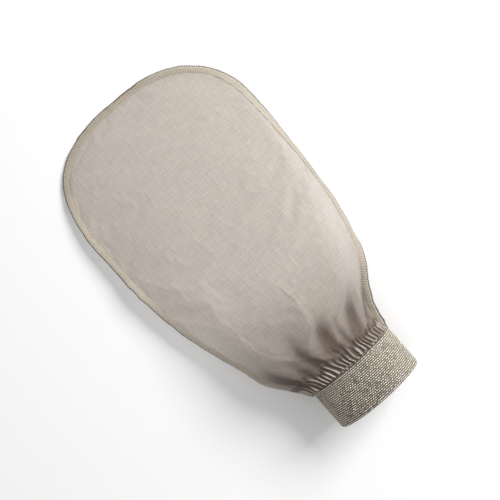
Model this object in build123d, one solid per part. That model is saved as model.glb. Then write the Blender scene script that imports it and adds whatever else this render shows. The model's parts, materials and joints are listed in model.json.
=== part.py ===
"""A sheer exfoliating mitt: two panels of fine open mesh, overlocked together round their edge, gathered
into a wide woven elastic cuff with a metallic yarn. All sizes are in millimetres.

The mitt lies on a flat surface, open and full as it is when worn, and resting on the middle of its back
panel, on its tip and on its cuff. +Y points from the cuff to the fingertips, +Z is up, and the origin is
under the middle of the mitt, on the surface that it lies on.

The sewn part is modelled in its own seam frame: its origin is at the middle of the cuff's sewn end, y runs
up the mitt and the two panels meet in its plane z = 0. That plane slopes down to the tip by SEAM_SLOPE.
"""

from build123d import *
from math import asin, atan2, cos, degrees, pi, radians, sin
import os

# The mitt's outline, measured over the overlocked edge
MITT_WIDTH = 150.0
BODY_LENGTH = 237.0  # from the cuff's sewn end to the tip
WIDEST_Y = 165.0  # how far beyond the cuff the mitt is widest
NECK_HALF = 35.0  # half the width where the outline meets the cuff
SIDE_POWER = 2.75  # how late the sides turn in towards the neck
TIP_POWER = 2.55  # how square the tip is: 2 is an ellipse

# The cuff, a flattened ring of woven elastic
CUFF_WIDTH = 66.0
CUFF_HEIGHT = 46.0
CUFF_LENGTH = 30.0
ROW_PITCH = 1.3  # from one row of the weave to the next
ROWS = 22
OUTER_WALL = 0.6  # of the webbing outside the rubber strands
INNER_WALL = 0.5
STRAND = 0.5
YARN_WIDTH = 0.7  # of the metallic yarn, which lies in a groove of the outer webbing
YARN_WALL = 0.25
GROOVE_DEPTH = 0.3
LAYER_GAP = 0.05  # between one layer of the cuff and the next
JOIN_ANGLE = 205.0  # where round the cuff its two ends meet, seen from the mouth
JOIN_GAP = 0.4
JOIN_STITCHES = 10
JOIN_STITCH_REACH = 5.0
JOIN_STITCH_WIDTH = 0.6
JOIN_BOX_DEPTH = 8.0  # of the box that cuts the join, through the cuff's wall
JOIN_BOX_MARGIN = 2.0  # how far that box runs past each end of the cuff

# The sewn panels
FABRIC = 0.4
THREAD = 0.3
SEAM_WIDTH = 5.0  # of the overlocked edge
NEEDLE_LINE = 0.45  # width of the line of needle stitches
THREAD_GAP = 0.2  # between the needle line and the loopers' cover
PLY_GAP = 0.02  # between the two loopers where they meet round the cut edge
GATHER_LENGTH = 14.0  # of the tight pleats beside the cuff
GATHER_WALL = 0.8
CROWN_NECK = 24.0  # height of the upper panel over the seam, beside the gathers
CROWN_TIP = 6.0
ALLOWANCE_LENGTH = 6.0  # of the pleats turned in under the cuff
ALLOWANCE_WALL = 0.8
SEAM_ROW_IN = 1.0  # from the cuff's sewn end to the row of stitches that holds the allowance

# Places worked out from the sizes above
CUFF_Z = CUFF_HEIGHT / 2
TIP_Z = FABRIC + THREAD
SEAM_SLOPE = asin((CUFF_Z - TIP_Z) / BODY_LENGTH)
TOTAL_LENGTH = CUFF_LENGTH + BODY_LENGTH * cos(SEAM_SLOPE)
MOUTH_Y = -TOTAL_LENGTH / 2
NECK_Y = MOUTH_Y + CUFF_LENGTH
EDGE_HALF = MITT_WIDTH / 2 - THREAD  # half the width of the cut fabric
EDGE_TIP = BODY_LENGTH - THREAD
BOW_INSET = SEAM_WIDTH + 1.0  # where a panel starts to bow away from the seam plane
NECK_INSET = 0.3  # how far inside the cuff's outer face the pleats start
NECK_GAP = 0.3  # between the pleats and the cuff, which turn against each other

# How finely the outline and the bowed surfaces are drawn
SIDE_POINTS = 6  # of the outline beside the middle of the mitt
TIP_POINTS = 7  # of the outline round each corner of the tip
SECTIONS = 20  # across the mitt, from the gathers to the tip
SECTION_POINTS = 10
BOW_MARGIN = 1.06  # how far past its edge a bowed surface runs before it is trimmed


# Outlines and surfaces -------------------------------------------------------------------------------


def half_width(y, inset):
    """Half the fabric's width at y, for an outline that lies inset inside its cut edge."""
    half, tip = EDGE_HALF - inset, EDGE_TIP - inset
    if y <= WIDEST_Y:
        return half - (EDGE_HALF - NECK_HALF) * ((WIDEST_Y - y) / WIDEST_Y) ** SIDE_POWER
    return half * (1 - ((y - WIDEST_Y) / (tip - WIDEST_Y)) ** TIP_POWER) ** (1 / TIP_POWER)


def outline_face(inset):
    """The mitt's outline from the gathers to the tip, as a flat face in the seam plane."""
    half, tip = EDGE_HALF - inset, EDGE_TIP - inset
    right = []
    for i in range(SIDE_POINTS):
        y = GATHER_LENGTH + (WIDEST_Y - GATHER_LENGTH) * i / SIDE_POINTS
        right.append((half_width(y, inset), y))
    for i in range(TIP_POINTS):
        turn = pi / 2 * i / TIP_POINTS
        across = half * cos(turn) ** (2 / TIP_POWER)
        along = WIDEST_Y + (tip - WIDEST_Y) * sin(turn) ** (2 / TIP_POWER)
        right.append((across, along))
    left = [(-x, y) for x, y in reversed(right)]
    edge = Spline(*right, (0, tip), *left)
    return make_face([edge, Line(left[-1], right[0])])


def slab(inset, low, high):
    """A flat plate of the outline, from height low to high over the seam plane."""
    return extrude(Pos(0, 0, low) * outline_face(inset), amount=high - low)


def strip(outer, inner, low, high):
    """A flat strip that follows the outline, from inset outer to inset inner."""
    return slab(outer, low, high) - slab(inner, low, high)


def share_full(x, y, inset):
    """1 on the mitt's middle line and 0 on the outline that lies inset inside the cut edge."""
    half, tip = EDGE_HALF - inset, EDGE_TIP - inset
    if y <= WIDEST_Y:
        return 1 - abs(x / half_width(y, inset)) ** TIP_POWER
    return 1 - abs(x / half) ** TIP_POWER - ((y - WIDEST_Y) / (tip - WIDEST_Y)) ** TIP_POWER


def crown(y):
    """Height of the upper panel's middle over the seam plane."""
    t = min(y / BODY_LENGTH, 1)
    return CROWN_NECK + (CROWN_TIP - CROWN_NECK) * t * t * (3 - 2 * t)


def belly(y):
    """Depth of the lower panel's middle under the seam plane, which brings it down to the surface."""
    return (CUFF_Z - y * sin(SEAM_SLOPE)) / cos(SEAM_SLOPE)


def bowed_solid(height, side):
    """Everything under a surface that is bowed by height(y) inside the overlocked edge, and past the seam
    plane. side is 1 for a surface that bows up and -1 for one that bows down."""
    sections = []
    for j in range(SECTIONS):
        y = GATHER_LENGTH + (EDGE_TIP - GATHER_LENGTH) * j / (SECTIONS - 1)
        reach = BOW_MARGIN * half_width(min(y, WIDEST_Y), BOW_INSET)
        bow = []
        for i in range(SECTION_POINTS + 1):
            x = reach * (2 * i / SECTION_POINTS - 1)
            bow.append((x, side * (height(y) - FABRIC) * share_full(x, y, BOW_INSET)))
        base = -side * CUFF_HEIGHT
        under = Polyline(bow[-1], (reach, base), (-reach, base), bow[0])
        sections.append(Plane.XZ.offset(-y) * make_face([Spline(*bow), under]))
    return loft(sections)


def domed_panel(height, side):
    """One panel: a sheet bowed by height(y) inside the overlocked edge, and flat round that edge.
    side is 1 for the upper panel and -1 for the lower one."""
    bowed = bowed_solid(height, side)
    room = slab(SEAM_WIDTH / 2, min(0, side * CUFF_HEIGHT), max(0, side * CUFF_HEIGHT))
    flat = slab(0, min(0, side * FABRIC), max(0, side * FABRIC))
    outer = (Pos(0, 0, side * FABRIC) * bowed & room) + flat
    return outer - (bowed & room)


def half_section(half, height, across_power, power, side):
    """A D-shaped face in the XZ plane: flat along the seam, and bowed by height on one side."""
    arc = []
    for i in range(SECTION_POINTS + 1):
        x = half * cos(pi * i / SECTION_POINTS)
        arc.append((x, side * height * max(0, 1 - abs(x / half) ** across_power) ** power))
    return Plane.XZ * make_face([Spline(*arc), Line(arc[-1], arc[0])])


def gathers(height, side):
    """Half of the gathered neck: from the cuff's end to the panel's, as a bowed wall."""
    upright = Rot(degrees(SEAM_SLOPE), 0, 0)
    panel_half = half_width(GATHER_LENGTH, BOW_INSET)
    wall = []
    for inset in (0, GATHER_WALL):
        width, rise = CUFF_WIDTH / 2 - NECK_INSET - inset, CUFF_HEIGHT / 2 - NECK_INSET - inset
        near = upright * Pos(0, NECK_GAP, 0) * half_section(width, rise, 2, 0.5, side)
        bow = height(GATHER_LENGTH) - inset
        far = Pos(0, GATHER_LENGTH, 0) * half_section(panel_half - inset, bow, TIP_POWER, 1, side)
        wall.append(loft([near, far]))
    return wall[0] - wall[1]


# The cuff --------------------------------------------------------------------------------------------


def ring(out, wall, start, length):
    """A flattened ring round the cuff's axis: out inside the cuff's outer size, and wall thick."""
    outer = Ellipse(CUFF_WIDTH / 2 - out, CUFF_HEIGHT / 2 - out)
    inner = Ellipse(CUFF_WIDTH / 2 - out - wall, CUFF_HEIGHT / 2 - out - wall)
    place = Plane(origin=(0, start, CUFF_Z), x_dir=(1, 0, 0), z_dir=(0, 1, 0))
    return extrude(place * (outer - inner), amount=length)


def join_box(width):
    """A box through the cuff's wall where its two ends meet, width long round the cuff."""
    turn = radians(JOIN_ANGLE)
    x, z = CUFF_WIDTH / 2 * cos(turn), CUFF_HEIGHT / 2 * sin(turn)
    box = Box(JOIN_BOX_DEPTH, CUFF_LENGTH + 2 * JOIN_BOX_MARGIN, width)
    return Pos(x, MOUTH_Y + CUFF_LENGTH / 2, CUFF_Z + z) * Rot(0, -degrees(atan2(z, x)), 0) * box


def row_y(i):
    """Where the i-th row of the weave lies along the cuff."""
    return MOUTH_Y + (CUFF_LENGTH - (ROWS - 1) * ROW_PITCH) / 2 + i * ROW_PITCH


def rows(out, wall, width):
    """One thin ring for each row of the weave."""
    return [ring(out, wall, row_y(i) - width / 2, width) for i in range(ROWS)]


def join_stitches():
    """Short stitches across the join, on the outside of the cuff."""
    near = join_box(JOIN_STITCH_REACH)
    pitch = CUFF_LENGTH / JOIN_STITCHES
    stitches = []
    for i in range(JOIN_STITCHES):
        start = MOUTH_Y + pitch * (i + 0.5) - JOIN_STITCH_WIDTH / 2
        stitches.append(ring(-THREAD - LAYER_GAP, THREAD, start, JOIN_STITCH_WIDTH) & near)
    return stitches


# Nodes -----------------------------------------------------------------------------------------------


def sewn(shape):
    """Puts a shape from the seam frame in its place on the mitt."""
    return Pos(0, NECK_Y, CUFF_Z) * Rot(-degrees(SEAM_SLOPE), 0, 0) * shape


def looper(side):
    """One looper thread's cover of the edge: over its own side and half of the cut edge."""
    inner = SEAM_WIDTH - NEEDLE_LINE - THREAD_GAP
    top = strip(-THREAD, inner, FABRIC, FABRIC + THREAD)
    edge = strip(-THREAD, 0, PLY_GAP, FABRIC)
    cover = top + edge
    return cover if side > 0 else mirror(cover, about=Plane.XY)


def needle_line():
    """The needle thread's row of stitches, along the inner side of the overlocked edge."""
    return strip(SEAM_WIDTH - NEEDLE_LINE, SEAM_WIDTH, FABRIC, FABRIC + THREAD)


def cuff_layers():
    """The cuff's layers from the outside in, each a node, cut through where the cuff is joined."""
    slit = join_box(JOIN_GAP)
    strand_out = OUTER_WALL + LAYER_GAP
    inner_out = strand_out + STRAND + LAYER_GAP
    outer = ring(0, OUTER_WALL, MOUTH_Y, CUFF_LENGTH) - slit
    for groove in rows(0, GROOVE_DEPTH, YARN_WIDTH + 2 * LAYER_GAP):
        outer -= groove
    yarns = rows(GROOVE_DEPTH - YARN_WALL, YARN_WALL, YARN_WIDTH)
    return {
        "cuff_outer_webbing": outer,
        "cuff_metallic_yarns": [row - slit for row in yarns],
        "cuff_rubber_strands": [row - slit for row in rows(strand_out, STRAND, STRAND)],
        "cuff_inner_webbing": ring(inner_out, INNER_WALL, MOUTH_Y, CUFF_LENGTH) - slit,
        "cuff_join_stitches": join_stitches(),
    }


def turned_in():
    """What lies inside the cuff's sewn end: the pleats' allowance and the threads that hold it."""
    under = OUTER_WALL + STRAND + INNER_WALL + 3 * LAYER_GAP
    start = NECK_Y - ALLOWANCE_LENGTH
    cover = under + ALLOWANCE_WALL + LAYER_GAP
    seam_y = NECK_Y - SEAM_ROW_IN
    overlock_length = ALLOWANCE_LENGTH - SEAM_ROW_IN - THREAD
    return {
        "gather_allowance": ring(under, ALLOWANCE_WALL, start, ALLOWANCE_LENGTH),
        "allowance_overlock_thread": ring(cover, THREAD, start, overlock_length),
        "cuff_seam_thread": ring(cover, THREAD, seam_y, 2 * THREAD),
    }


def nodes():
    """Every node of the mitt, by name: one shape, or a list of separate ones."""
    made = {
        "palm_panel": sewn(domed_panel(crown, 1)),
        "back_panel": sewn(domed_panel(belly, -1)),
        "palm_gathers": sewn(gathers(crown, 1)),
        "back_gathers": sewn(gathers(belly, -1)),
        "edge_upper_looper_thread": sewn(looper(1)),
        "edge_lower_looper_thread": sewn(looper(-1)),
        "edge_needle_thread": sewn(needle_line()),
    }
    made.update(cuff_layers())
    made.update(turned_in())
    return made


os.makedirs("parts", exist_ok=True)
for name, shape in nodes().items():
    pieces = shape if isinstance(shape, list) else [shape]
    export_step(Compound([s for piece in pieces for s in piece.solids()]), f"parts/{name}.step")
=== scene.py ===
import json
import math

import bpy
import numpy as np
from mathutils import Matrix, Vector


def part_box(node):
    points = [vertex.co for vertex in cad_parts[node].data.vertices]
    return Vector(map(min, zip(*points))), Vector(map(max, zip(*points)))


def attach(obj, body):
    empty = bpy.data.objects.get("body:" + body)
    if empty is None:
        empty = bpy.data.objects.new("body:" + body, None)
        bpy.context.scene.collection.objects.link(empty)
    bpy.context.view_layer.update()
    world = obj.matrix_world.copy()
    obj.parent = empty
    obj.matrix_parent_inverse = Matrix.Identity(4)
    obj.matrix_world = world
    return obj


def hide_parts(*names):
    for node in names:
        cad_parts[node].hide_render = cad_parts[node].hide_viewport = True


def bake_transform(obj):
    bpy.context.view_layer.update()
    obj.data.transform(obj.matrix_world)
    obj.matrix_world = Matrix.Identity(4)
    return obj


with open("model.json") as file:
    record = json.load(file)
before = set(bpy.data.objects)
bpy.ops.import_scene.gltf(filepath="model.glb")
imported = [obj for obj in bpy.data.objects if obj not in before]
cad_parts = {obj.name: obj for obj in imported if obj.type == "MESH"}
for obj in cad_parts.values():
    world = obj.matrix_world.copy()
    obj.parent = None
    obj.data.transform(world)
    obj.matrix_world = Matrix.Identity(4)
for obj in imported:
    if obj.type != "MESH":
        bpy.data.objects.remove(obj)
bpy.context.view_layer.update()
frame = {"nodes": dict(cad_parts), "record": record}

# The looks of a sheer exfoliating mitt: two panels of open mesh, overlocked together round their edge and
# gathered into a woven elastic cuff with a metallic yarn. Lengths are in metres, in the row frame unless a
# function says that it works in the seam frame: there the origin is at the middle of the cuff's sewn end,
# y runs up the mitt, and the two panels meet in the plane z = 0, which slopes down to the tip.

MM = 0.001

# Places and sizes read from the frame
JOINT = frame["record"]["behaviour"]["joints"][0]
NECK_Y, CUFF_Z = JOINT["pos_m"][1:]
_, EDGE_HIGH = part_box("edge_upper_looper_thread")
CUFF_LOW, CUFF_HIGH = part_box("cuff_outer_webbing")
MOUTH_Y = CUFF_LOW[1]
CUFF_LENGTH = NECK_Y - MOUTH_Y
CUFF_HALF = CUFF_HIGH[0]
CUFF_RISE = (CUFF_HIGH[2] - CUFF_LOW[2]) / 2
EDGE_HALF = EDGE_HIGH[0]
TIP_Z = 0.7 * MM
BODY_LENGTH = math.hypot(EDGE_HIGH[1] - NECK_Y, CUFF_Z - TIP_Z)
SLOPE = math.asin((CUFF_Z - TIP_Z) / BODY_LENGTH)

# The outline, as the CAD model has it, and how far the worn mitt leans to one side of it
WIDEST_Y = 165 * MM
NECK_HALF = 35 * MM
SIDE_POWER = 2.75
TIP_POWER = 2.65
LEAN = 3.4 * MM
BODY_LEAN = 1.2 * MM
TIP_LEAN = 2.2 * MM
SHOULDER = 3.2 * MM
SHOULDER_Y = 24 * MM
SHOULDER_REACH = 14 * MM
TUCK = 3.0 * MM

# The overlocked edge. WAVER is in and out, WAVE and RIPPLE are up and down, and TURN is in radians.
SEAM_WIDTH = 3.9 * MM
BOW_GAP = 0.6 * MM
PLY_GAP = 0.16 * MM
STITCH_PITCH = 1.5 * MM
THREAD_RADIUS = 0.16 * MM
NEEDLE_RADIUS = 0.13 * MM
RIM_WAVER = 0.35 * MM
EDGE_WAVE = 0.55 * MM
EDGE_RIPPLE = 0.25 * MM
UNDER_TURN = 1.05
RIGHT_TURN = 1.0
UP_TURN = 0.3

# Sides of a thread, and the least height over the surface that the mitt lies on
TUBE_SIDES = 6
CLOTH_CLEAR = 0.15 * MM
THREAD_CLEAR = 0.2 * MM
LOOPER_CLEAR = 0.4 * MM

# The panels' mesh and their pleats. Every second row and column is simulated as cloth.
ROWS = 177
COLUMNS = 301
START_Y = -2.5 * MM
CORNER_TURN = 0.25 * math.pi
PLEATS = 25
PLEAT_RISE = 1.9 * MM
CROWN_NECK = 24 * MM
CROWN_TIP = 6 * MM
PUFF = 3.0 * MM

# The panels' cloth simulation
CLOTH_FRAMES = 12
CLOTH_QUALITY = 6
CLOTH_PRESSURE = 0.15
CLOTH_REACH = 5 * MM  # how far a point may move
SLACK_BODY = 0.01
SLACK_NECK = 0.06
HELD_ROWS = 4
CLOTH_MASS = 0.02
STRETCH_STIFFNESS = 8
SHEAR_STIFFNESS = 3
BENDING_STIFFNESS = 0.02
AIR_DAMPING = 4

# Creases that run up from the gathers: both ends in the seam frame, reach to each side, and depth, all in mm
CREASES = (
    ((0.5, 10), (9, 38), 9.0, 1.9),
    ((18, 8), (38, 37), 7.0, 1.8),
    ((33, 12), (49, 34), 4.0, 1.4),
    ((11, 8), (17, 30), 3.6, 0.9),
    ((-11, 6), (-18, 40), 6.5, 1.6),
    ((-28, 6), (-43, 34), 6.0, 1.6),
    ((-20, 6), (-25, 24), 5.0, 1.1),
)


# Small tools --------------------------------------------------------------------------------------------


def smooth(x, low=0.0, high=1.0):
    """0 below low, 1 above high, and an even S between them."""
    t = np.clip((np.asarray(x, float) - low) / (high - low), 0, 1)
    return t * t * (3 - 2 * t)


def wander(x, seed):
    """A smooth random line through x, between -1 and 1, that changes about once for each unit of x."""
    x = np.asarray(x, float)
    values = np.random.default_rng(seed).uniform(-1, 1, 512)
    cell = np.floor(x).astype(int)
    t = x - cell
    t = t * t * (3 - 2 * t)
    return values[cell % 512] * (1 - t) + values[(cell + 1) % 512] * t


def pick(index, seed, low, high):
    """A random number between low and high for each whole number in index."""
    return np.random.default_rng(seed).uniform(low, high, 512)[np.asarray(index, int) % 512]


def sewn(points):
    """Points of the seam frame, in the row frame."""
    x, y, z = np.moveaxis(np.asarray(points, float), -1, 0)
    c, s = math.cos(SLOPE), math.sin(SLOPE)
    return np.stack([x, NECK_Y + y * c + z * s, CUFF_Z - y * s + z * c], -1)


def off_floor(points, clear):
    """Points of the row frame, none lower than clear over the surface that the mitt lies on."""
    points = np.array(points, float)
    points[..., 2] = np.maximum(points[..., 2], clear)
    return points


def make_mesh(name, points, faces, attributes=None):
    """A smooth-shaded mesh object. attributes gives a number for each point, by name."""
    mesh = bpy.data.meshes.new(name)
    points = np.asarray(points, float).reshape(-1, 3)
    mesh.from_pydata(points.tolist(), [], faces if isinstance(faces, list) else faces.tolist())
    mesh.shade_smooth()
    for key, values in (attributes or {}).items():
        layer = mesh.attributes.new(key, "FLOAT", "POINT")
        layer.data.foreach_set("value", np.asarray(values, np.float32).ravel())
    obj = bpy.data.objects.new(name, mesh)
    bpy.context.scene.collection.objects.link(obj)
    return obj


def grid_faces(rows, columns, wrap_rows=False, wrap_columns=False):
    """Quads over a grid of points, which may close on itself either way."""
    r = np.arange(rows if wrap_rows else rows - 1)[:, None]
    c = np.arange(columns if wrap_columns else columns - 1)[None, :]
    r2, c2 = (r + 1) % rows, (c + 1) % columns
    quads = np.stack([r * columns + c, r * columns + c2, r2 * columns + c2, r2 * columns + c], -1)
    return quads.reshape(-1, 4)


def tube_grid(path, radius):
    """Rings of points round a path."""
    path = np.asarray(path, float)
    tangent = np.gradient(path, axis=0)
    tangent /= np.linalg.norm(tangent, axis=1)[:, None] + 1e-12
    normal = np.zeros_like(path)
    start = np.cross(tangent[0], [0.3, 0.2, 1.0])
    normal[0] = start / np.linalg.norm(start)
    for i in range(1, len(path)):
        n = normal[i - 1] - tangent[i] * np.dot(normal[i - 1], tangent[i])
        normal[i] = n / (np.linalg.norm(n) + 1e-12)
    other = np.cross(tangent, normal)
    turn = np.linspace(0, 2 * math.pi, TUBE_SIDES, endpoint=False)
    ring = normal[:, None] * np.cos(turn)[None, :, None] + other[:, None] * np.sin(turn)[None, :, None]
    return path[:, None] + ring * np.asarray(radius).reshape(-1, 1, 1)


def tubes(name, paths, radius, attributes=None):
    """One object of closed tubes along several paths. radius may be a number, or one for each point of the
    paths, as are the attributes' values."""
    points, faces, base = [], [], 0
    for path in paths:
        rings = tube_grid(path, radius)
        quads = grid_faces(len(path), TUBE_SIDES, wrap_columns=True) + base
        points.append(rings.reshape(-1, 3))
        faces += quads.tolist()
        faces.append([base + i for i in range(TUBE_SIDES)])
        last = base + (len(path) - 1) * TUBE_SIDES
        faces.append([last + i for i in reversed(range(TUBE_SIDES))])
        base += len(path) * TUBE_SIDES
    values = {key: np.repeat(value, TUBE_SIDES) for key, value in (attributes or {}).items()}
    return make_mesh(name, np.concatenate(points), faces, values)


# The outline, in the seam frame ---------------------------------------------------------------------------


def half_width(y, inset=0.0):
    """Half the mitt's width at y, for an outline that lies inset inside the overlocked edge."""
    y = np.asarray(y, float)
    half, tip = EDGE_HALF - inset, BODY_LENGTH - inset
    side = half - (EDGE_HALF - NECK_HALF) * (np.clip(WIDEST_Y - y, 0, None) / WIDEST_Y) ** SIDE_POWER
    beyond = np.clip((y - WIDEST_Y) / (tip - WIDEST_Y), 0, 1)
    end = half * (1 - beyond ** TIP_POWER) ** (1 / TIP_POWER)
    return np.where(y <= WIDEST_Y, side, end)


def lean(y):
    """How far the middle of the mitt lies to one side of its axis at y."""
    bulge = np.exp(-(((y - SHOULDER_Y) / SHOULDER_REACH) ** 2))
    side = LEAN * smooth(y, -8 * MM, 8 * MM) + BODY_LEAN * smooth(y, 60 * MM, 175 * MM)
    side += TIP_LEAN * smooth(y, 195 * MM, 228 * MM)
    return -side - SHOULDER * bulge * smooth(y, 0, 10 * MM)


def shifted(points):
    """Leans points of the seam frame to the side that the worn mitt bulges to, and tucks in the other."""
    points = np.array(points, float)
    x, y = points[..., 0], points[..., 1]
    tuck = smooth(y, -2 * MM, 10 * MM) * (1 - smooth(y, 30 * MM, 58 * MM)) * smooth(x, 5 * MM, 50 * MM)
    points[..., 0] = x + lean(y) - TUCK * tuck
    return points


def seam_inset(y):
    """Width of the flat edge outside the bowed part of a panel. It narrows where it runs into the cuff."""
    return SEAM_WIDTH * smooth(y, -3 * MM, 7 * MM) + BOW_GAP


def crown(y):
    """Height of the upper panel's middle over the seam."""
    t = np.clip(y / BODY_LENGTH, 0, 1)
    puff = PUFF * smooth(y, 4 * MM, 26 * MM) * (1 - smooth(y, 40 * MM, 115 * MM))
    return (CROWN_NECK + (CROWN_TIP - CROWN_NECK) * smooth(t)) * (0.9 + 0.1 * smooth(y, 0, 12 * MM)) + puff


def belly(y):
    """Depth of the lower panel's middle under the seam, where it rests on the surface."""
    depth = (CUFF_Z - y * math.sin(SLOPE)) / math.cos(SLOPE) - 0.3 * MM
    return depth * (0.94 + 0.06 * smooth(y, 0, 12 * MM))


# Panels -----------------------------------------------------------------------------------------------------


def ridges(phase, seed, low, high, power):
    """One ridge for each unit of phase, from low to high tall at random. The higher the power, the narrower
    the ridges and the wider the valleys between them."""
    return np.abs(np.sin(math.pi * phase)) ** power * pick(np.floor(phase), seed, low, high)


def fade_out(phase, y, seed, low, high):
    """1 where each ridge is whole and 0 beyond its end, which lies from low to high mm up the mitt."""
    reach = pick(np.floor(phase), seed, low, high) * MM
    return 1 - smooth(y, reach * 0.45, reach)


def pleats(k, y, seed):
    """The tight pleats beside the cuff, at k across the neck and y along the mitt: how far they stand out as
    a share of their full height, and how much of the fabric at that place lies in a pleat at all."""
    across = (0.4 * k + 0.6 * np.sin(k * math.pi / 2) + 1) / 2
    drift = 0.38 * wander(across * 9, seed) + 0.2 * wander(across * 7 + y / (8 * MM), seed + 1)
    phase = across * PLEATS + drift
    fade = fade_out(phase, y, seed + 2, 8, 15)
    tall = ridges(phase, seed + 3, 0.7, 1.05, 2.6) * fade
    small = ridges(phase + 0.5, seed + 4, 0.0, 0.2, 6) * fade_out(phase + 0.5, y, seed + 5, 5, 12)
    start = smooth(y, -2.2 * MM, -0.6 * MM)
    return (tall + small) * start, fade * start


def folds(k, y, seed):
    """Wider folds, in which the tight pleats run out. They fade out up the mitt."""
    across = (k + 1) / 2
    middle = across * 11.5 + 0.45 * wander(across * 6 + y / (30 * MM), seed + 6)
    out = 1.8 * MM * ridges(middle, seed + 7, 0.2, 1.1, 1.6) * fade_out(middle, y, seed + 8, 22, 50)
    out *= smooth(y, 2 * MM, 12 * MM)
    wide = across * 4.3 + 0.3 * wander(across * 3 + y / (60 * MM), seed + 9)
    rise = 2.2 * MM * ridges(wide, seed + 10, 0.4, 1.0, 0.9) * fade_out(wide, y, seed + 11, 60, 110)
    return out + rise * smooth(y, 8 * MM, 30 * MM)


def creases(x, y):
    """How deep the creases are at a place on the upper panel, in metres."""
    deep = np.zeros_like(x)
    for (x1, y1), (x2, y2), reach, depth in CREASES:
        along = np.array([x2 - x1, y2 - y1]) * MM
        length = np.hypot(*along)
        run = ((x - x1 * MM) * along[0] + (y - y1 * MM) * along[1]) / length ** 2
        off = ((x - x1 * MM) * along[1] - (y - y1 * MM) * along[0]) / length
        ends = smooth(run, -0.25, 0.2) * (1 - smooth(run, 0.5, 1.2))
        deep += depth * MM * ends * np.exp(-((off / (reach * MM * 0.62)) ** 2))
    return deep


def panel_grid(side):
    """Points of a bowed panel inside the overlocked edge, in the seam frame: rows from the cuff to the tip,
    and columns from one side seam to the other. side is 1 for the upper panel and -1 for the lower one."""
    t = np.linspace(0, 1, ROWS)[:, None]
    k = np.linspace(-1, 1, COLUMNS)[None, :]
    across = np.sin(k * math.pi / 2)
    inner_half = EDGE_HALF - SEAM_WIDTH - BOW_GAP
    inner_tip = BODY_LENGTH - SEAM_WIDTH - BOW_GAP
    corner_half = inner_half * math.cos(CORNER_TURN) ** (2 / TIP_POWER)
    corner_y = WIDEST_Y + (inner_tip - WIDEST_Y) * math.sin(CORNER_TURN) ** (2 / TIP_POWER)
    side_y = START_Y + (corner_y - START_Y) * (0.3 * t + 0.7 * t ** 2)
    arc = 1 - np.abs(corner_half * across / inner_half) ** TIP_POWER
    arc_y = WIDEST_Y + (inner_tip - WIDEST_Y) * arc ** (1 / TIP_POWER)
    y = side_y + (arc_y - corner_y) * t ** 3
    side_half = np.where(side_y <= WIDEST_Y, half_width(side_y) - seam_inset(side_y),
                         half_width(side_y, SEAM_WIDTH + BOW_GAP))
    x = side_half * across
    beyond = np.clip((y - WIDEST_Y) / (inner_tip - WIDEST_Y), 0, 1)
    wide_half = np.where(y <= WIDEST_Y, half_width(y) - seam_inset(y), inner_half)
    power = 2 + 0.4 * smooth(y, 0, 30 * MM)
    share = np.clip(1 - np.abs(x / wide_half) ** power - beyond ** TIP_POWER, 0, 1)
    bow = 0.5 + 0.25 * smooth(y, 0, 16 * MM) + 0.2 * smooth(y, 12 * MM, 60 * MM)
    height = crown(y) if side > 0 else belly(y)
    z = side * (height * share ** bow + PLY_GAP)
    x, y, z = np.broadcast_arrays(x, y, z)
    return np.stack([x, y, z], -1), np.broadcast_to(k, x.shape)


def normals_of(points, side):
    """Unit normals of a panel's grid of points, which point out of the mitt."""
    along = np.gradient(points, axis=0)
    across = np.gradient(points, axis=1)
    n = np.cross(across, along)
    return side * n / (np.linalg.norm(n, axis=-1)[..., None] + 1e-12)


def thread_count(grid, y):
    """Where each point lies along the weft thread through it, in metres from the mitt's middle. The threads
    run on at their full spacing where the fabric is gathered."""
    step = np.hypot(*np.moveaxis(np.diff(grid[..., [0, 2]], axis=1), -1, 0))
    u = np.concatenate([np.zeros((len(grid), 1)), np.cumsum(step, axis=1)], 1)
    u -= u[:, COLUMNS // 2][:, None]
    return u * half_width(np.clip(y, 35 * MM, None)) / half_width(y)


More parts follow.
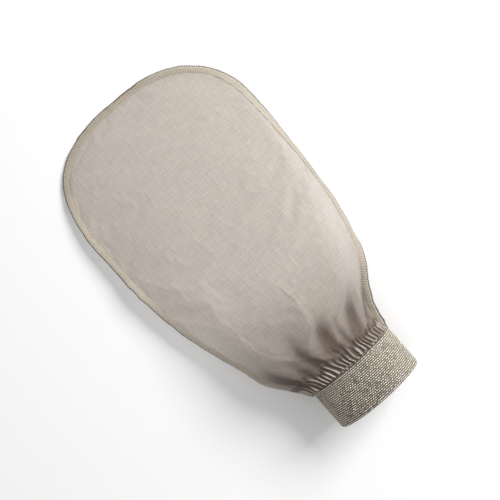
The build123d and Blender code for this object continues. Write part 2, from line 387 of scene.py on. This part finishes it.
def settle(points, side):
    """Lets a panel's cloth wrinkle and settle: held along its edge and in the cuff, cut a little larger than
    the shape it is sewn into, above all where it is gathered, and filled slightly from inside."""
    coarse = points[::2, ::2]
    rows, columns = coarse.shape[:2]
    faces = grid_faces(rows, columns)
    start = sewn(coarse)
    cloth = make_mesh("settling_cloth", start, faces if side > 0 else faces[:, ::-1])
    held = np.zeros((rows, columns), bool)
    held[:, [0, -1]] = held[-1] = True
    held[:HELD_ROWS] = True
    cloth.vertex_groups.new(name="held").add(np.flatnonzero(held).tolist(), 1.0, "REPLACE")
    slack = cloth.vertex_groups.new(name="slack")
    loose = 1 - smooth(coarse[..., 1], 5 * MM, 90 * MM)
    for i, weight in enumerate(loose.ravel()):
        slack.add([i], float(weight), "REPLACE")
    modifier = cloth.modifiers.new("cloth", "CLOTH")
    settings = modifier.settings
    settings.quality = CLOTH_QUALITY
    settings.mass = CLOTH_MASS
    settings.tension_stiffness = settings.compression_stiffness = STRETCH_STIFFNESS
    settings.shear_stiffness = SHEAR_STIFFNESS
    settings.bending_stiffness = BENDING_STIFFNESS
    settings.air_damping = AIR_DAMPING
    settings.vertex_group_mass = "held"
    settings.vertex_group_shrink = "slack"
    settings.shrink_min, settings.shrink_max = -SLACK_BODY, -SLACK_NECK
    settings.effector_weights.gravity = 0
    settings.use_pressure = True
    settings.uniform_pressure_force = CLOTH_PRESSURE
    modifier.collision_settings.use_collision = False
    for frame_number in range(1, CLOTH_FRAMES + 1):
        bpy.context.scene.frame_set(frame_number)
    result = cloth.evaluated_get(bpy.context.evaluated_depsgraph_get()).to_mesh()
    end = np.empty(rows * columns * 3, np.float32)
    result.vertices.foreach_get("co", end)
    bpy.data.objects.remove(cloth)
    bpy.context.scene.frame_set(1)
    moved = end.reshape(rows, columns, 3) - start
    length = np.linalg.norm(moved, axis=-1)[..., None] + 1e-12
    moved *= CLOTH_REACH * np.tanh(length / CLOTH_REACH) / length
    c, s = math.cos(SLOPE), math.sin(SLOPE)
    x, y, z = np.moveaxis(moved, -1, 0)
    moved = np.stack([x, y * c - z * s, y * s + z * c], -1)
    fine = np.zeros_like(points)
    fine[::2, ::2] = moved
    fine[::2, 1::2] = (moved[:, :-1] + moved[:, 1:]) / 2
    fine[1::2] = (fine[:-1:2] + fine[2::2]) / 2
    return points + fine


def edge_line(grid):
    """The edge of the bowed part of a panel, from one end of the cuff round the tip to the other: its points
    and the flat directions that point out of the mitt."""
    line = np.concatenate([grid[:, 0], grid[-1, 1:-1], grid[::-1, -1]])
    flat = line.copy()
    flat[:, 2] = 0
    along = np.gradient(flat, axis=0)
    out = np.stack([-along[:, 1], along[:, 0], np.zeros(len(along))], -1)
    for _ in range(3):
        out[1:-1] = (out[:-2] + out[1:-1] * 2 + out[2:]) / 4
    return line, out / np.linalg.norm(out, axis=1)[:, None]


class Edge:
    """The overlocked edge in the seam frame: at(length, share, lift) is the point that lies length along the
    seam, share of the way from the needle line to the rim, and lift above the middle of the edge."""

    def __init__(self, line, out):
        self.line, self.out = line, out
        steps = np.linalg.norm(np.diff(line[:, :2], axis=0), axis=1)
        self.lengths = np.concatenate([[0], np.cumsum(steps)])
        self.total = self.lengths[-1]

    def at(self, length, share, lift):
        length, share, lift = np.broadcast_arrays(np.asarray(length, float), share, lift)
        p = np.stack([np.interp(length, self.lengths, self.line[:, i]) for i in range(3)], -1)
        n = np.stack([np.interp(length, self.lengths, self.out[:, i]) for i in range(3)], -1)
        part = np.clip(share, 0, 1)
        waver = RIM_WAVER * wander(length / (6 * MM), 33) * part
        reach = (seam_inset(p[..., 1]) - BOW_GAP / 2) * share + waver
        wave = EDGE_WAVE * wander(length / (17 * MM), 31) + EDGE_RIPPLE * wander(length / (4 * MM), 32)
        wave = wave * part
        tilt = self.tilt(p[..., 0], p[..., 1])
        c, s = np.cos(tilt), np.sin(tilt)
        up = np.array([0, 0, 1.0])
        p[..., 2] = 0
        flat, over = (reach * c + (lift + wave) * s)[..., None], ((lift + wave) * c - reach * s)[..., None]
        return p + n * flat + up * over

    def tilt(self, x, y):
        """How far the edge is turned down. Both sides roll under, and one turns up beside the gathers."""
        left = UNDER_TURN * (1 - smooth(y, 25 * MM, 130 * MM))
        right = RIGHT_TURN * smooth(y, 36 * MM, 62 * MM) * (1 - smooth(y, 125 * MM, 205 * MM))
        return np.where(x < 0, left, right - UP_TURN * (1 - smooth(y, 18 * MM, 50 * MM)))


def build_panel(name, side, edge):
    """A whole panel: its bowed and pleated part, and its ply of the overlocked edge."""
    grid, k = panel_grid(side)
    y = grid[..., 1]
    seed = 50 if side > 0 else 90
    rim = smooth(1 - np.abs(k), 0, 0.05)
    free = rim * smooth(y, 8 * MM, 20 * MM) + 1 - smooth(y, 8 * MM, 20 * MM)
    deep = creases(grid[..., 0], y) if side > 0 else np.zeros_like(y)
    out = folds(k, y, seed) - 1.6 * MM * (1 - smooth(y, 0, 10 * MM))
    moved = grid + normals_of(grid, side) * (out * free)[..., None]
    moved = settle(moved, side)
    tall, gathered = pleats(k, y, seed)
    moved = moved + normals_of(moved, side) * ((PLEAT_RISE * tall - deep) * free)[..., None]
    if side < 0:
        moved = rest_on_surface(moved)
    index = np.arange(ROWS * COLUMNS).reshape(ROWS, COLUMNS)
    border = np.concatenate([index[:, 0], index[-1, 1:-1], index[::-1, -1]])
    u = thread_count(grid, y).ravel()
    rings, faces, ring_u = [], [grid_faces(ROWS, COLUMNS)], []
    previous = border
    for share in (0.2, 0.4, 0.6, 0.8, 1.0):
        rings.append(edge.at(edge.lengths, share, side * PLY_GAP))
        ring_u.append(u[border] + edge.out[:, 0] * share * SEAM_WIDTH)
        current = ROWS * COLUMNS + (len(rings) - 1) * len(border) + np.arange(len(border))
        faces.append(np.stack([previous[:-1], previous[1:], current[1:], current[:-1]], -1))
        previous = current
    points = np.concatenate([moved.reshape(-1, 3)] + rings)
    rest = np.zeros(len(points) - ROWS * COLUMNS)
    hollow = np.clip(deep / (1.9 * MM), 0, 1)
    # crest, gathered, hollow and bunched also set where the mesh material paints its highlight on the pleats
    # and its shade in the valleys, the creases and towards the cuff.
    values = {
        "weave_u": np.concatenate([u] + ring_u),
        "weave_v": points[:, 1],
        "crest": np.concatenate([np.clip(tall, 0, 1).ravel(), rest]),
        "gathered": np.concatenate([gathered.ravel(), rest]),
        "hollow": np.concatenate([hollow.ravel(), rest]),
        "bunched": 1 - smooth(points[:, 1], -10 * MM, 85 * MM),
        "edging": np.concatenate([np.zeros(ROWS * COLUMNS), rest + 1]),
    }
    faces = np.concatenate(faces)
    points = off_floor(sewn(shifted(points)), CLOTH_CLEAR)
    return make_mesh(name, points, faces if side > 0 else faces[:, ::-1], values)


def rest_on_surface(points):
    """Presses the lower panel flat where it would reach below the surface that the mitt lies on."""
    world = sewn(points)
    low = 0.35 * MM
    depth = low - world[..., 2]
    lifted = np.where(depth > 0, low + 0.12 * MM * np.tanh(depth / (0.5 * MM)), world[..., 2])
    points = points.copy()
    points[..., 2] += (lifted - world[..., 2]) / math.cos(SLOPE)
    return points


# Overlock threads -------------------------------------------------------------------------------------------


# One stitch of each thread: how far along the stitch, how far out to the rim, and the height in mm
UPPER_STITCH = ((0.0, -0.03, 0.3), (0.08, 0.1, 0.4), (0.25, 0.45, 0.42), (0.4, 0.8, 0.36), (0.5, 0.93, 0.14),
                (0.6, 0.93, 0.14), (0.72, 0.8, 0.36), (0.88, 0.45, 0.42), (0.97, 0.1, 0.4))
LOWER_STITCH = ((0.0, 0.3, 0.4), (0.05, 0.7, 0.38), (0.1, 1.0, 0.16), (0.3, 1.11, 0.06), (0.5, 1.11, 0.05),
                (0.7, 1.11, 0.06), (0.9, 1.0, 0.16), (0.95, 0.7, 0.38))
NEEDLE_STITCH = ((0.0, -0.06, -0.1), (0.15, -0.06, 0.3), (0.4, -0.06, 0.46), (0.65, -0.06, 0.4),
                 (0.85, -0.06, 0.15))


def stitched(edge, stitch, side, phase):
    """A thread that repeats one stitch along the overlocked edge, a little unevenly."""
    count = int(edge.total / STITCH_PITCH)
    i = np.arange(count)[:, None]
    along, share, lift = np.array(stitch).T
    jitter = 0.12 * wander(i * 0.9 + phase, 60 + side)
    length = ((i + phase + along + jitter * np.sin(along * math.pi)) * STITCH_PITCH).ravel()
    share = (share + 0.02 * wander(i * 1.1 + 0.5, 62 + side) * (share > 0.75)).ravel()
    lift = np.tile(side * (lift * MM + PLY_GAP / 2), count)
    keep = length < edge.total
    return edge.at(length[keep], share[keep], lift[keep]), smooth(share[keep], 0.84, 0.94)


# Cuff -------------------------------------------------------------------------------------------------------

CUFF_ROWS = 22
CUFF_STITCHES = 96
POINTS_PER_ROW = 5
POINTS_PER_STITCH = 4
CUFF_WALL = 1.9 * MM
CUFF_HEM = 0.35 * MM
STITCH_RELIEF = 0.36 * MM
SCALLOP = 0.12 * MM
JOIN_TURN = 0.565
RIBBON_HALF_WIDTH = 0.16 * MM
RIBBON_HALF_THICK = 0.025 * MM


def oval(turns, out):
    """Points of the cuff's oval at shares of the way round it, out beyond its outer face, and the directions
    that point out of it. Equal steps of turns are equal lengths round the cuff."""
    angle = np.linspace(0, 2 * math.pi, 2049)
    ring = np.stack([CUFF_HALF * np.cos(angle), CUFF_RISE * np.sin(angle)], -1)
    lengths = np.concatenate([[0], np.cumsum(np.linalg.norm(np.diff(ring, axis=0), axis=1))])
    a = np.interp(np.asarray(turns, float) % 1.0 * lengths[-1], lengths, angle)
    n = np.stack([np.cos(a) / CUFF_HALF, np.sin(a) / CUFF_RISE], -1)
    n /= np.linalg.norm(n, axis=-1)[..., None]
    p = np.stack([CUFF_HALF * np.cos(a), CUFF_RISE * np.sin(a)], -1) + n * np.asarray(out)[..., None]
    return p, n


def cuff_points(turns, y, out):
    """Points of the row frame on the cuff, at shares of the way round it."""
    turns, y, out = np.broadcast_arrays(turns, y, out)
    p, _ = oval(turns, out)
    return np.stack([p[..., 0], y, CUFF_Z + p[..., 1]], -1)


def row_y(row):
    """How far along the cuff a row of its weave lies."""
    return MOUTH_Y + CUFF_HEM + (CUFF_LENGTH - 2 * CUFF_HEM) * row / CUFF_ROWS


def weave_height(turns, row):
    """Height of the knitted face, from 0 in the gaps to 1 on a stitch, at row along the cuff."""
    line = np.floor(row)
    across = np.abs(np.sin(math.pi * (row - line)))
    slip = np.where(line % 2 > 0, 0.5, 0.0)
    around = np.abs(np.sin(math.pi * (turns * CUFF_STITCHES + slip + 0.22 * np.sin(math.pi * (row - line)))))
    return across ** 0.6 * (0.45 + 0.55 * around ** 0.55)


def build_webbing():
    """The woven elastic as one closed band: knitted outside, plainer inside, with rounded edges."""
    columns = CUFF_STITCHES * POINTS_PER_STITCH
    turns = np.linspace(0, 1, columns, endpoint=False)[None, :]
    rows = np.linspace(0, CUFF_ROWS, CUFF_ROWS * POINTS_PER_ROW + 1)[:, None]
    height = weave_height(turns, rows)
    face = cuff_points(turns, row_y(rows), (height - 1) * STITCH_RELIEF)
    inner_rows = np.linspace(CUFF_ROWS, 0, CUFF_ROWS * 2 + 1)[:, None]
    ribs = np.abs(np.sin(math.pi * turns * CUFF_STITCHES))
    inner_height = np.abs(np.sin(math.pi * inner_rows)) * 0.2 + 0.1 * ribs
    lining = cuff_points(turns, row_y(inner_rows), -CUFF_WALL + inner_height * 0.3 * MM)
    scallop = SCALLOP * np.sin(2 * math.pi * turns * CUFF_STITCHES)
    sewn_end = [cuff_points(turns, NECK_Y - 0.1 * MM + scallop, -d * MM) for d in (0.5, 1.1, 1.6)]
    mouth_end = [cuff_points(turns, MOUTH_Y + 0.1 * MM + scallop, -d * MM) for d in (1.6, 1.1, 0.5)]
    grid = np.concatenate([face] + sewn_end + [lining] + mouth_end)
    end = np.ones((3, columns))
    tall = np.concatenate([height, 0.76 * end, inner_height + 0.65, 0.76 * end])
    row = np.concatenate([rows + 0 * turns, CUFF_ROWS * end, inner_rows + 0 * turns, 0 * end])
    faces = grid_faces(len(grid), columns, wrap_rows=True, wrap_columns=True)
    around = np.broadcast_to(turns, tall.shape)
    values = {"stitch": tall, "around": around * CUFF_STITCHES, "row": row}
    return make_mesh("elastic_webbing", grid, faces, values)


def build_metallic_yarn():
    """Thin flat ribbons, one in each row of the cuff, that pass over one stitch and under the next."""
    steps = CUFF_STITCHES * 3
    turns = np.linspace(0, 1, steps, endpoint=False)
    points, faces, base = [], [], 0
    for row in range(CUFF_ROWS):
        slip = 0.5 if row % 2 else 0.0
        wave = np.cos(2 * math.pi * (turns * CUFF_STITCHES / 2 + slip) + 0.8 * wander(turns * 40, 200 + row))
        out = -0.12 * MM + 0.2 * MM * wave
        y = row_y(row + 0.5) + 0.16 * MM * np.sin(2 * math.pi * turns * CUFF_STITCHES + row)
        twist = 0.9 * wander(turns * 90, 300 + row)
        p, n = oval(turns, out)
        centre = np.stack([p[:, 0], y, CUFF_Z + p[:, 1]], -1)
        normal = np.stack([n[:, 0], 0 * y, n[:, 1]], -1)
        wide = normal * np.sin(twist)[:, None] + np.array([0, 1, 0]) * np.cos(twist)[:, None]
        thin = np.cross(wide, np.stack([-n[:, 1], 0 * y, n[:, 0]], -1))
        corners = [(1, 1), (1, -1), (-1, -1), (-1, 1)]
        wide, thin = wide * RIBBON_HALF_WIDTH, thin * RIBBON_HALF_THICK
        ring = np.stack([centre + wide * a + thin * b for a, b in corners], 1)
        points.append(ring.reshape(-1, 3))
        faces.append(grid_faces(steps, 4, wrap_rows=True, wrap_columns=True) + base)
        base += steps * 4
    return make_mesh("metallic_yarn", np.concatenate(points), np.concatenate(faces))


def build_allowance():
    """The pleats' ends, turned in under the cuff's sewn end."""
    columns, depth = 640, 6.4 * MM
    turns = np.linspace(0, 1, columns, endpoint=False)[None, :]
    y = np.linspace(NECK_Y + 1.2 * MM, NECK_Y - depth, 22)[:, None]
    phase = turns * PLEATS * 2 + 0.3 * wander(turns * 20, 81)
    fold = np.abs(np.sin(math.pi * phase)) * pick(np.floor(phase), 82, 0.5, 1)
    out = -CUFF_WALL - 0.25 * MM - 0.75 * MM * fold
    ragged = 0.25 * MM * wander(turns * 120, 83) * smooth(NECK_Y - y, 4 * MM, depth)
    grid = cuff_points(turns, y + ragged, out)
    whole = np.ones(grid.shape[:2])
    # These set the mesh material's painted highlight and painted shade, as on the panels.
    values = {"weave_u": turns * 300 * MM * whole, "weave_v": y * whole, "crest": (1 - fold) * whole,
              "gathered": whole, "hollow": 0 * whole, "bunched": whole, "edging": 0 * whole}
    return make_mesh("gather_allowance_pleats", grid, grid_faces(22, columns, wrap_columns=True), values)


def zigzag_round(count, y_low, y_high, out):
    """A thread that zigzags round the inside of the cuff."""
    i = np.arange(count * 4 + 1)
    turns = i / (count * 4)
    swing = np.array([0.0, 0.5, 1.0, 0.5])[i % 4]
    return cuff_points(turns, y_low + (y_high - y_low) * swing, out + 0 * turns)


def join_stitch_paths(turn):
    """Zigzag stitches that butt the elastic's two ends together."""
    paths = []
    steps = np.arange(41)
    y = MOUTH_Y + 0.8 * MM + (CUFF_LENGTH - 1.6 * MM) * steps / 40
    for side in (-1, 1):
        swing = turn + side * (0.0025 + 0.0075 * (steps % 2))
        paths.append(cuff_points(swing, y, 0.12 * MM + 0 * y))
    swing = turn + 0.009 * np.where(steps % 2, 1, -1)
    paths.append(cuff_points(swing, y, 0.2 * MM + 0 * y))
    return paths


# Materials --------------------------------------------------------------------------------------------------


class Nodes:
    """Short names for building a material's nodes."""

    def __init__(self, name):
        self.material = bpy.data.materials.new(name)
        self.material.use_nodes = True
        self.tree = self.material.node_tree
        self.shader = self.tree.nodes["Principled BSDF"]
        self.output = self.tree.nodes["Material Output"]

    def add(self, kind, inputs=None, **settings):
        node = self.tree.nodes.new("ShaderNode" + kind)
        for key, value in settings.items():
            setattr(node, key, value)
        for key, value in (inputs or {}).items():
            self.put(node.inputs[key], value)
        return node

    def put(self, socket, value):
        if isinstance(value, bpy.types.NodeSocket):
            self.tree.links.new(value, socket)
        else:
            socket.default_value = value

    def attribute(self, name):
        return self.add("Attribute", attribute_name=name).outputs["Fac"]

    def math(self, operation, a, b=0.0, clamp=False):
        return self.add("Math", {0: a, 1: b}, operation=operation, use_clamp=clamp).outputs[0]

    def scaled(self, value, factor):
        return self.math("MULTIPLY", value, factor)

    def flat(self, colour):
        """A colour given as a screen shows it, from 0 to 255."""
        return (*rgb(*colour), 1)

    def ramp(self, value, *stops):
        node = self.add("ValToRGB", {0: value})
        points = node.color_ramp.elements
        for i, (place, colour) in enumerate(stops):
            point = points[i] if i < 2 else points.new(place)
            point.position = place
            point.color = (*colour, 1) if hasattr(colour, "__len__") else (colour, colour, colour, 1)
        return node.outputs[0]

    def noise(self, scale, detail=2.0, vector=None):
        inputs = {"Scale": scale, "Detail": detail}
        if vector is not None:
            inputs["Vector"] = vector
        return self.add("TexNoise", inputs).outputs["Fac"]

    def mix(self, factor, a, b):
        return self.add("Mix", {0: factor, 6: a, 7: b}, data_type="RGBA").outputs[2]

    def bump(self, height, strength, distance):
        inputs = {"Height": height, "Strength": strength, "Distance": distance}
        return self.add("Bump", inputs).outputs[0]

    def set(self, **inputs):
        for key, value in inputs.items():
            self.put(self.shader.inputs[key.replace("_", " ")], value)


def rgb(r, g, b):
    """A colour as a screen shows it, from 0 to 255, as the linear colour that a shader takes."""
    return tuple(((v / 255 + 0.055) / 1.055) ** 2.4 for v in (r, g, b))


MESH_COLOUR = (198, 188, 178)
MESH_PALE = (216, 208, 198)
# Painted highlight on the pleats' crests
MESH_PAINTED_HIGHLIGHT = (232, 223, 212)
# Painted shade for the pleats' valleys, the creases and the bunched fabric towards the cuff
MESH_PAINTED_SHADE = (76, 59, 46)
EDGING_WARM = (212, 193, 174)
EDGING_OLIVE = (198, 190, 170)
WEAVE_PITCH = 1.3 * MM


def mesh_material():
    """Sheer plain-woven mesh: see-through between its threads, and denser where it is gathered. The pleats'
    crests carry a painted highlight, and painted shade darkens the valleys between them, the creases and the
    bunched fabric towards the cuff."""
    n = Nodes("sheer_mesh")
    u, v = n.attribute("weave_u"), n.attribute("weave_v")
    crest, gathered, hollow = n.attribute("crest"), n.attribute("gathered"), n.attribute("hollow")
    bunched, edging = n.attribute("bunched"), n.attribute("edging")
    slub_warp = n.noise(1.0, 1.0, n.add("CombineXYZ", {0: n.scaled(u, 900), 1: n.scaled(v, 90)}).outputs[0])
    slub_weft = n.noise(1.0, 1.0, n.add("CombineXYZ", {0: n.scaled(u, 90), 1: n.scaled(v, 900)}).outputs[0])
    turn = 2 * math.pi / WEAVE_PITCH
    warp = n.math("SINE", n.scaled(u, turn))
    weft = n.math("SINE", n.scaled(v, turn))
    grain = n.scaled(n.math("ADD", warp, weft), 0.5)
    slubs = n.math("SUBTRACT", n.math("ADD", slub_warp, slub_weft), 1.0)
    cloud = n.noise(26.0, 3.0, n.add("CombineXYZ", {0: u, 1: v}).outputs[0])
    valley = n.math("MULTIPLY", gathered, n.math("SUBTRACT", 1.0, n.ramp(crest, (0.15, 0.0), (0.6, 1.0))))
    alpha = n.math("ADD", 0.53, n.scaled(bunched, 0.30))
    parts = ((grain, 0.17), (slubs, 0.16), (cloud, 0.10), (edging, 0.08), (hollow, 0.12), (gathered, 0.12))
    for part, share in parts:
        alpha = n.math("ADD", alpha, n.scaled(part, share))
    alpha = n.math("SUBTRACT", alpha, 0.05, clamp=True)
    fleck = n.math("ADD", n.scaled(slubs, 0.6), n.scaled(grain, 0.5), clamp=True)
    colour = n.mix(fleck, n.flat(MESH_COLOUR), n.flat(MESH_PALE))
    patches = n.ramp(n.noise(38.0, 1.0), (0.4, 0.0), (0.6, 1.0))
    tint = n.mix(patches, n.flat(EDGING_WARM), n.flat(EDGING_OLIVE))
    colour = n.mix(n.scaled(edging, 0.75), colour, tint)
    # Painted shade: darker in the pleats' valleys, in the creases, and towards the cuff where the fabric is
    # bunched.
    shade = n.math("ADD", n.scaled(valley, 0.7), n.scaled(hollow, 0.56))
    shade = n.math("ADD", shade, n.scaled(bunched, 0.76), clamp=True)
    colour = n.mix(n.scaled(shade, 0.93), colour, n.flat(MESH_PAINTED_SHADE))
    # Painted highlight: lighter on the pleats' crests.
    painted_highlight = n.math("MULTIPLY", gathered, n.ramp(crest, (0.6, 0.0), (0.9, 0.5)))
    colour = n.mix(painted_highlight, colour, n.flat(MESH_PAINTED_HIGHLIGHT))
    height = n.math("ADD", grain, n.scaled(slubs, 0.6))
    n.set(Base_Color=colour, Roughness=0.75, Normal=n.bump(height, 0.3, 0.0003), Sheen_Weight=0.1,
          Sheen_Roughness=0.5)
    clear = n.add("BsdfTransparent")
    blend = n.add("MixShader", {0: alpha, 1: clear.outputs[0], 2: n.shader.outputs[0]})
    n.put(n.output.inputs[0], blend.outputs[0])
    return n.material


def thread_material(name, colour, dark, rim):
    """Spun thread: fine twist and small changes of shade. The attribute rim marks where it runs round the
    edge of the mitt, in the colour of that name."""
    n = Nodes(name)
    twist = n.add("TexWave", {"Scale": 900.0, "Distortion": 2.0}, bands_direction="DIAGONAL").outputs["Fac"]
    shade = n.noise(260.0, 3.0)
    tone = n.ramp(n.noise(38.0, 1.0), (0.4, 0.0), (0.6, 0.35))
    colour = n.mix(n.ramp(shade, (0.3, 0.0), (0.75, 1.0)), n.flat(dark), n.flat(colour))
    colour = n.mix(tone, colour, n.flat(EDGING_OLIVE))
    # At the rim the thread takes the rim colour; the lower looper's dark one is painted shade, a shadow line
    # along the mitt's rim.
    colour = n.mix(n.attribute("rim"), colour, n.flat(rim))
    n.set(Base_Color=colour, Roughness=0.7, Normal=n.bump(twist, 0.3, 0.0002), Sheen_Weight=0.3)
    return n.material


def webbing_material():
    """Knitted elastic: pale stitches over gaps darkened with painted shade, a little lighter on the side of
    the cuff that faces the key light, and glints of the metallic yarn knitted in.
    """
    n = Nodes("elastic_webbing")
    stitch, around, row = n.attribute("stitch"), n.attribute("around"), n.attribute("row")
    fleck = n.add("TexVoronoi", {"Scale": 1500.0}).outputs["Color"]
    fleck = n.add("SeparateColor", {0: fleck}).outputs[0]
    shade = n.noise(700.0, 2.0)
    pale = n.mix(n.ramp(shade, (0.3, 0.0), (0.7, 1.0)), n.flat((190, 177, 160)), n.flat((250, 243, 230)))
    gold = n.ramp(fleck, (0.72, 0.0), (0.78, 1.0))
    pale = n.mix(n.scaled(gold, 0.7), pale, n.flat((250, 243, 214)))
    cell = n.add("CombineXYZ", {0: n.math("FLOOR", around), 1: n.math("FLOOR", row)}).outputs[0]
    lot = n.add("TexWhiteNoise", {"Vector": cell}, noise_dimensions="3D").outputs["Value"]
    # Painted shade: the gaps between the stitches are dark; some whole stitches are darker at random.
    gap = n.ramp(stitch, (0.58, 1.0), (0.9, 0.0))
    gap = n.math("MAXIMUM", gap, n.ramp(lot, (0.05, 0.75), (0.45, 0.0)))
    # Painted light: the gaps' painted shade is a little lighter on the side of the cuff that faces the key
    # light.
    side = n.ramp(n.math("DIVIDE", around, CUFF_STITCHES), (0.02, 0.8), (0.26, 1.0))
    colour = n.mix(n.math("MULTIPLY", gap, side), pale, n.flat((34, 26, 20)))
    fibre = n.add("TexWave", {"Scale": 1400.0, "Distortion": 1.5}, bands_direction="Y").outputs["Fac"]
    n.set(Base_Color=colour, Metallic=n.scaled(gold, 0.3), Roughness=n.ramp(gold, (0.0, 0.8), (1.0, 0.5)),
          Normal=n.bump(n.math("ADD", fibre, fleck), 0.12, 0.0002))
    return n.material


def metallic_material():
    """Gold-coloured metallic ribbon, a little crumpled, so that it glitters."""
    n = Nodes("metallic_yarn")
    facet = n.add("TexVoronoi", {"Scale": 900.0}).outputs["Color"]
    tint = n.add("SeparateColor", {0: facet}).outputs[1]
    colour = n.mix(tint, n.flat((224, 206, 162)), n.flat((253, 247, 228)))
    n.set(Base_Color=colour, Metallic=0.9, Roughness=0.26, Normal=n.bump(tint, 0.8, 0.0004))
    return n.material


def rubber_material():
    """The elastic's rubber strands: matt, with fine cross wrinkles."""
    n = Nodes("rubber_strand")
    shade = n.noise(400.0, 2.0)
    colour = n.mix(shade, n.flat((190, 180, 160)), n.flat((222, 214, 196)))
    n.set(Base_Color=colour, Roughness=0.85, Normal=n.bump(shade, 0.4, 0.0003))
    return n.material


def floor_material():
    """Plain pale floor."""
    n = Nodes("pale_floor")
    shade = n.noise(3.0, 2.0)
    n.set(Base_Color=n.mix(shade, (0.86, 0.86, 0.86, 1), (0.89, 0.89, 0.89, 1)), Roughness=0.9)
    return n.material


# Scene ------------------------------------------------------------------------------------------------------

CAMERA_HEIGHT = 0.60
CAMERA_TURN = math.radians(-41.5)
VIEW_WIDTH = 0.3345
VIEW_LEVEL = 0.015
SENSOR = 36
VIEW_CENTRE = (-1.3 * MM, NECK_Y + 97.7 * MM)
KEY_SIZE, KEY_POWER = 0.6, 18
FILL_SIZE, FILL_POWER = 1.2, 3.5
WORLD_LIGHT = 0.45
FLOOR_HALF = 3


def build_camera():
    """Straight above the mitt, turned so that the tip points up and to the left."""
    camera = bpy.data.cameras.new("camera")
    camera.sensor_width = SENSOR
    camera.lens = SENSOR * (CAMERA_HEIGHT - VIEW_LEVEL) / VIEW_WIDTH
    camera.clip_start = 0.01
    obj = bpy.data.objects.new("camera", camera)
    obj.location = (*VIEW_CENTRE, CAMERA_HEIGHT)
    obj.rotation_euler = (0, 0, CAMERA_TURN)
    bpy.context.scene.collection.objects.link(obj)
    bpy.context.scene.camera = obj


def area_light(name, place, size, power):
    """A soft square light that shines at the mitt."""
    light = bpy.data.lights.new(name, "AREA")
    light.size = size
    light.energy = power
    obj = bpy.data.objects.new(name, light)
    obj.location = place
    towards = -np.array(place, float)
    obj.rotation_mode = "QUATERNION"
    obj.rotation_quaternion = Vector(towards).to_track_quat("-Z", "Y")
    bpy.context.scene.collection.objects.link(obj)


def build_studio():
    """A pale floor under soft lights: the key from the right, the fill from the left."""
    corners = ((-1, -1), (1, -1), (1, 1), (-1, 1))
    floor = make_mesh("floor", [(FLOOR_HALF * x, FLOOR_HALF * y, 0) for x, y in corners], [[0, 1, 2, 3]])
    floor.data.materials.append(floor_material())
    area_light("key", (1.0, 0.1, 0.8), KEY_SIZE, KEY_POWER)
    area_light("fill", (-0.5, -0.4, 1.3), FILL_SIZE, FILL_POWER)
    world = bpy.data.worlds.new("studio")
    world.use_nodes = True
    background = world.node_tree.nodes["Background"]
    background.inputs[0].default_value = (1, 1, 1, 1)
    background.inputs[1].default_value = WORLD_LIGHT
    bpy.context.scene.world = world
    bpy.context.scene.view_settings.view_transform = "Standard"


def finish_piece(obj, material, body=None):
    """Gives a piece its material, and puts it on a body."""
    obj.data.materials.clear()
    obj.data.materials.append(material)
    if body:
        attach(obj, body)
    else:
        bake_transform(obj)


build_camera()
build_studio()

grid, _ = panel_grid(1)
edge = Edge(*edge_line(grid))
mesh_cloth = mesh_material()
upper_thread = thread_material("upper_looper_thread", (224, 213, 197), (202, 190, 173), (240, 232, 216))
# Its dark rim colour is painted shade: a shadow line along the mitt's rim.
lower_thread = thread_material("lower_looper_thread", (210, 199, 181), (184, 172, 153), (72, 63, 52))
needle_thread = thread_material("needle_thread", (216, 206, 190), (190, 178, 158), (216, 206, 190))

palm = build_panel("palm_cloth", 1, edge)
back = build_panel("back_cloth", -1, edge)
for cloth, nodes in ((palm, ("palm_panel", "palm_gathers")), (back, ("back_panel", "back_gathers"))):
    finish_piece(cloth, mesh_cloth)
    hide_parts(*nodes)

LOOPERS = (("upper", 1, UPPER_STITCH, 0.0, upper_thread), ("lower", -1, LOWER_STITCH, 0.35, lower_thread))
for name, side, stitch, phase, thread in LOOPERS:
    path, rim = stitched(edge, stitch, side, phase)
    thick = THREAD_RADIUS * (1 + (0.3 if side > 0 else 1.2) * rim)
    path = off_floor(sewn(shifted(path)), LOOPER_CLEAR)
    looper = tubes(name + "_looper", [path], thick, attributes={"rim": rim})
    finish_piece(looper, thread)
    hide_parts("edge_" + name + "_looper_thread")
needle_paths = [stitched(edge, NEEDLE_STITCH, side, 0.0)[0] for side in (1, -1)]
needle_paths = [off_floor(sewn(shifted(path)), THREAD_CLEAR) for path in needle_paths]
needle_piece = tubes("needle_stitches", needle_paths, NEEDLE_RADIUS)
finish_piece(needle_piece, needle_thread)
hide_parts("edge_needle_thread")

webbing = build_webbing()
finish_piece(webbing, webbing_material(), "cuff")
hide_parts("cuff_outer_webbing", "cuff_inner_webbing")
yarn = build_metallic_yarn()
finish_piece(yarn, metallic_material(), "cuff")
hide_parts("cuff_metallic_yarns")
allowance = build_allowance()
finish_piece(allowance, mesh_cloth, "cuff")
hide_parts("gather_allowance")
inside = -CUFF_WALL - 1.05 * MM
path = zigzag_round(150, NECK_Y - 6.6 * MM, NECK_Y - 3.2 * MM, inside)
overlock = tubes("allowance_overlock", [path], 0.17 * MM)
finish_piece(overlock, upper_thread, "cuff")
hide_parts("allowance_overlock_thread")
path = zigzag_round(84, NECK_Y - 1.4 * MM, NECK_Y - 0.9 * MM, inside)
seam = tubes("cuff_seam_stitches", [path], THREAD_RADIUS)
finish_piece(seam, needle_thread, "cuff")
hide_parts("cuff_seam_thread")
join = tubes("cuff_join_zigzag", join_stitch_paths(JOIN_TURN), THREAD_RADIUS)
finish_piece(join, needle_thread, "cuff")
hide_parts("cuff_join_stitches")
strands = frame["nodes"]["cuff_rubber_strands"]
strands.data.materials.clear()
strands.data.materials.append(rubber_material())
